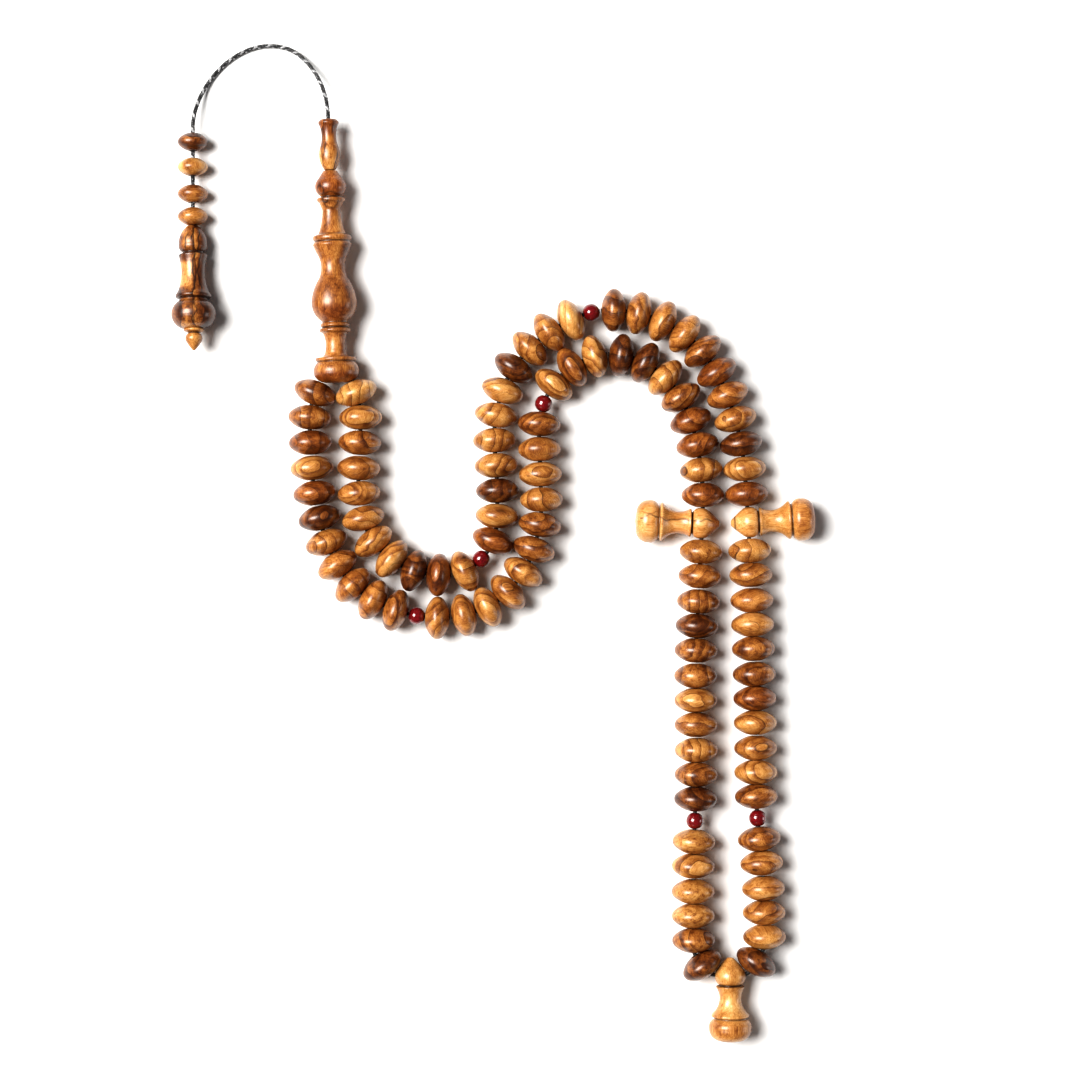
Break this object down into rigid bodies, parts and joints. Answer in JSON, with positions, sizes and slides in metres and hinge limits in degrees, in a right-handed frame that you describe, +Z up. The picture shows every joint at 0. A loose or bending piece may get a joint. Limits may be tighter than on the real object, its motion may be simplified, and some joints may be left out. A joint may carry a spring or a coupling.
{
  "type": "prayer beads",
  "caption": "String of turned olive-wood prayer beads with three marker beads, small red spacers, a tall imam bead and a braided tail with counting beads and a wooden tassel.",
  "frame": {"origin": "on the table, under the middle of the object's outline without its tail cord", "axes": "+X right along the layout's short side, +Y along its long side from the end marker towards the imam's cap, +Z up from the table"},
  "size_m": [0.1545, 0.2403, 0.0109],
  "materials": {
    "olive_wood": "satin varnish, warm orange brown with darker grain",
    "pale_olive_wood": "satin varnish, pale cream yellow with fine pores",
    "banded_olive_wood": "satin varnish, golden tan with strong dark bands",
    "red_resin": "glossy deep crimson",
    "black_braid": "braided synthetic cord with silver flecks",
    "bead_thread": "dark waxed thread"
  },
  "bodies": {
    "left_bend": {"threads_left_bend": "bead_thread", "beads_left_6_to_11": "olive_wood", "bead_left_12": "olive_wood", "beads_right_6_to_10": "olive_wood"},
    "left_side": {"threads_left_side": "bead_thread", "beads_left_4_to_5": "olive_wood", "beads_right_4_to_5": "olive_wood"},
    "below_imam": {"threads_below_imam": "bead_thread", "beads_left_1_to_3": "olive_wood", "beads_right_1_to_3": "olive_wood"},
    "imam": {"imam_body": "olive_wood", "strand_knot": "bead_thread", "threads_in_imam": "bead_thread", "cord_core": "black_braid"},
    "cap": {"imam_cap": "olive_wood"},
    "tail": {"tail_cord": "black_braid", "tassel_knot": "black_braid"},
    "counter_1": {"counter_bead_1": "olive_wood"},
    "counter_2": {"counter_bead_2": "olive_wood"},
    "counter_3": {"counter_bead_3": "olive_wood"},
    "counter_4": {"counter_bead_4": "olive_wood"},
    "tassel": {"tassel_body": "banded_olive_wood", "tassel_finial": "olive_wood"},
    "middle": {"threads_middle": "bead_thread", "beads_left_13_to_22": "olive_wood", "beads_left_23_to_25": "olive_wood", "bead_right_11": "olive_wood", "beads_right_12_to_22": "olive_wood"},
    "right_arch": {"threads_right_arch": "bead_thread", "beads_left_26_to_33": "olive_wood", "beads_left_34_to_35": "olive_wood", "beads_right_23_to_33": "olive_wood", "beads_right_34_to_35": "olive_wood"},
    "run_1": {"threads_run_1": "bead_thread", "beads_left_36_to_38": "olive_wood", "beads_right_36_to_38": "olive_wood"},
    "run_2": {"threads_run_2": "bead_thread", "beads_left_39_to_41": "olive_wood", "beads_right_39_to_41": "olive_wood"},
    "run_3": {"threads_run_3": "bead_thread", "beads_left_42_to_44": "olive_wood", "beads_right_42_to_44": "olive_wood", "beads_left_45_to_46": "olive_wood", "beads_right_45_to_46": "olive_wood"},
    "run_end": {"thread_end": "bead_thread", "beads_left_47_to_49": "olive_wood", "beads_right_47_to_49": "olive_wood", "bead_left_50": "olive_wood", "bead_right_50": "olive_wood"},
    "marker_left": {"marker_left": "pale_olive_wood"},
    "marker_right": {"marker_right": "pale_olive_wood"},
    "marker_end": {"marker_end": "olive_wood"},
    "red_bead_left_lower": {"red_bead_left_lower": "red_resin"},
    "red_bead_left_upper": {"red_bead_left_upper": "red_resin"},
    "red_bead_left_end": {"red_bead_left_end": "red_resin"},
    "red_bead_right_lower": {"red_bead_right_lower": "red_resin"},
    "red_bead_right_upper": {"red_bead_right_upper": "red_resin"},
    "red_bead_right_end": {"red_bead_right_end": "red_resin"}
  },
  "joints": [
    {"name": "imam_lift", "type": "hinge", "parent": "below_imam", "child": "imam", "pos_m": [-0.03751, 0.04735, 0.0053], "axis": [1, 0, 0], "range_deg": [0, 8]},
    {"name": "bend_under_imam", "type": "hinge", "parent": "left_side", "child": "below_imam", "pos_m": [-0.0376, 0.02956, 0.00515], "axis": [1, -0.004, 0], "range_deg": [0, 10]},
    {"name": "bend_left_side", "type": "hinge", "parent": "left_bend", "child": "left_side", "pos_m": [-0.03676, 0.01746, 0.00515], "axis": [0.9999, -0.01, 0], "range_deg": [0, 10]},
    {"name": "fold_left", "type": "hinge", "parent": "left_bend", "child": "middle", "pos_m": [-0.00974, -0.00422, 0.00515], "axis": [-0.028, -0.9996, 0], "range_deg": [0, 5]},
    {"name": "fold_right", "type": "hinge", "parent": "middle", "child": "right_arch", "pos_m": [0.02691, 0.05903, 0.00515], "axis": [0.168, -0.9858, 0], "range_deg": [0, 10]},
    {"name": "bend_run_1", "type": "hinge", "parent": "right_arch", "child": "run_1", "pos_m": [0.05599, -0.0023, 0.00515], "axis": [-0.9997, -0.024, 0], "range_deg": [0, 10]},
    {"name": "bend_run_2", "type": "hinge", "parent": "run_1", "child": "run_2", "pos_m": [0.05589, -0.02007, 0.00515], "axis": [-0.9996, -0.029, 0], "range_deg": [0, 10]},
    {"name": "bend_run_3", "type": "hinge", "parent": "run_2", "child": "run_3", "pos_m": [0.05613, -0.03785, 0.00515], "axis": [-0.9994, -0.036, 0], "range_deg": [0, 10]},
    {"name": "bend_run_end", "type": "hinge", "parent": "run_3", "child": "run_end", "pos_m": [0.05662, -0.07164, 0.00515], "axis": [-0.999, -0.044, 0], "range_deg": [0, 10]},
    {"name": "tail_swing", "type": "hinge", "parent": "imam", "child": "tail", "pos_m": [-0.03923, 0.11013, 0.00547], "axis": [-0.032, 0.9995, 0], "range_deg": [0, 90]},
    {"name": "marker_left_swing", "type": "hinge", "parent": "right_arch", "child": "marker_left", "pos_m": [0.05045, 0.01325, 0.00515], "axis": [0.04, 0.9992, 0], "range_deg": [0, 90]},
    {"name": "marker_right_swing", "type": "hinge", "parent": "right_arch", "child": "marker_right", "pos_m": [0.06152, 0.0135, 0.00515], "axis": [0.055, -0.9985, 0], "range_deg": [0, 90]},
    {"name": "marker_end_swing", "type": "hinge", "parent": "run_end", "child": "marker_end", "pos_m": [0.0572, -0.09505, 0.00515], "axis": [-1, 0, 0], "range_deg": [0, 30]},
    {"name": "cap_spin", "type": "hinge", "parent": "imam", "child": "cap", "pos_m": [-0.03923, 0.11013, 0.00547], "axis": [-0.032, 0.9995, 0], "continuous": true},
    {"name": "tassel_spin", "type": "hinge", "parent": "tail", "child": "tassel", "pos_m": [-0.072, 0.0848, 0.0033], "axis": [0.021, -0.9953, 0.095], "continuous": true},
    {"name": "red_bead_left_lower_spin", "type": "hinge", "parent": "left_bend", "child": "red_bead_left_lower", "pos_m": [-0.01816, -0.00892, 0.00515], "axis": [0.9856, -0.1689, 0], "continuous": true},
    {"name": "red_bead_left_upper_spin", "type": "hinge", "parent": "middle", "child": "red_bead_left_upper", "pos_m": [0.01244, 0.04208, 0.00515], "axis": [0.3591, 0.9333, 0], "continuous": true},
    {"name": "red_bead_left_end_spin", "type": "hinge", "parent": "run_3", "child": "red_bead_left_end", "pos_m": [0.04869, -0.05799, 0.00515], "axis": [-0.041, -0.9992, 0], "continuous": true},
    {"name": "red_bead_right_lower_spin", "type": "hinge", "parent": "middle", "child": "red_bead_right_lower", "pos_m": [-0.00246, 0.0048, 0.00515], "axis": [0.7031, 0.7111, 0], "continuous": true},
    {"name": "red_bead_right_upper_spin", "type": "hinge", "parent": "middle", "child": "red_bead_right_upper", "pos_m": [0.02375, 0.06382, 0.00515], "axis": [0.971, 0.239, 0], "continuous": true},
    {"name": "red_bead_right_end_spin", "type": "hinge", "parent": "run_3", "child": "red_bead_right_end", "pos_m": [0.06373, -0.05736, 0.00515], "axis": [0.067, -0.9978, 0], "continuous": true},
    {"name": "counter_1_slide", "type": "slide", "parent": "tail", "child": "counter_1", "axis": [0, 1, 0], "range_m": [-0.0008, 0.0008]},
    {"name": "counter_2_slide", "type": "slide", "parent": "tail", "child": "counter_2", "axis": [0, 1, 0], "range_m": [-0.0008, 0.0008]},
    {"name": "counter_3_slide", "type": "slide", "parent": "tail", "child": "counter_3", "axis": [0, 1, 0], "range_m": [-0.0004, 0.0009]},
    {"name": "counter_4_slide", "type": "slide", "parent": "tail", "child": "counter_4", "axis": [0, 1, 0], "range_m": [0, 0.0005]}
  ]
}
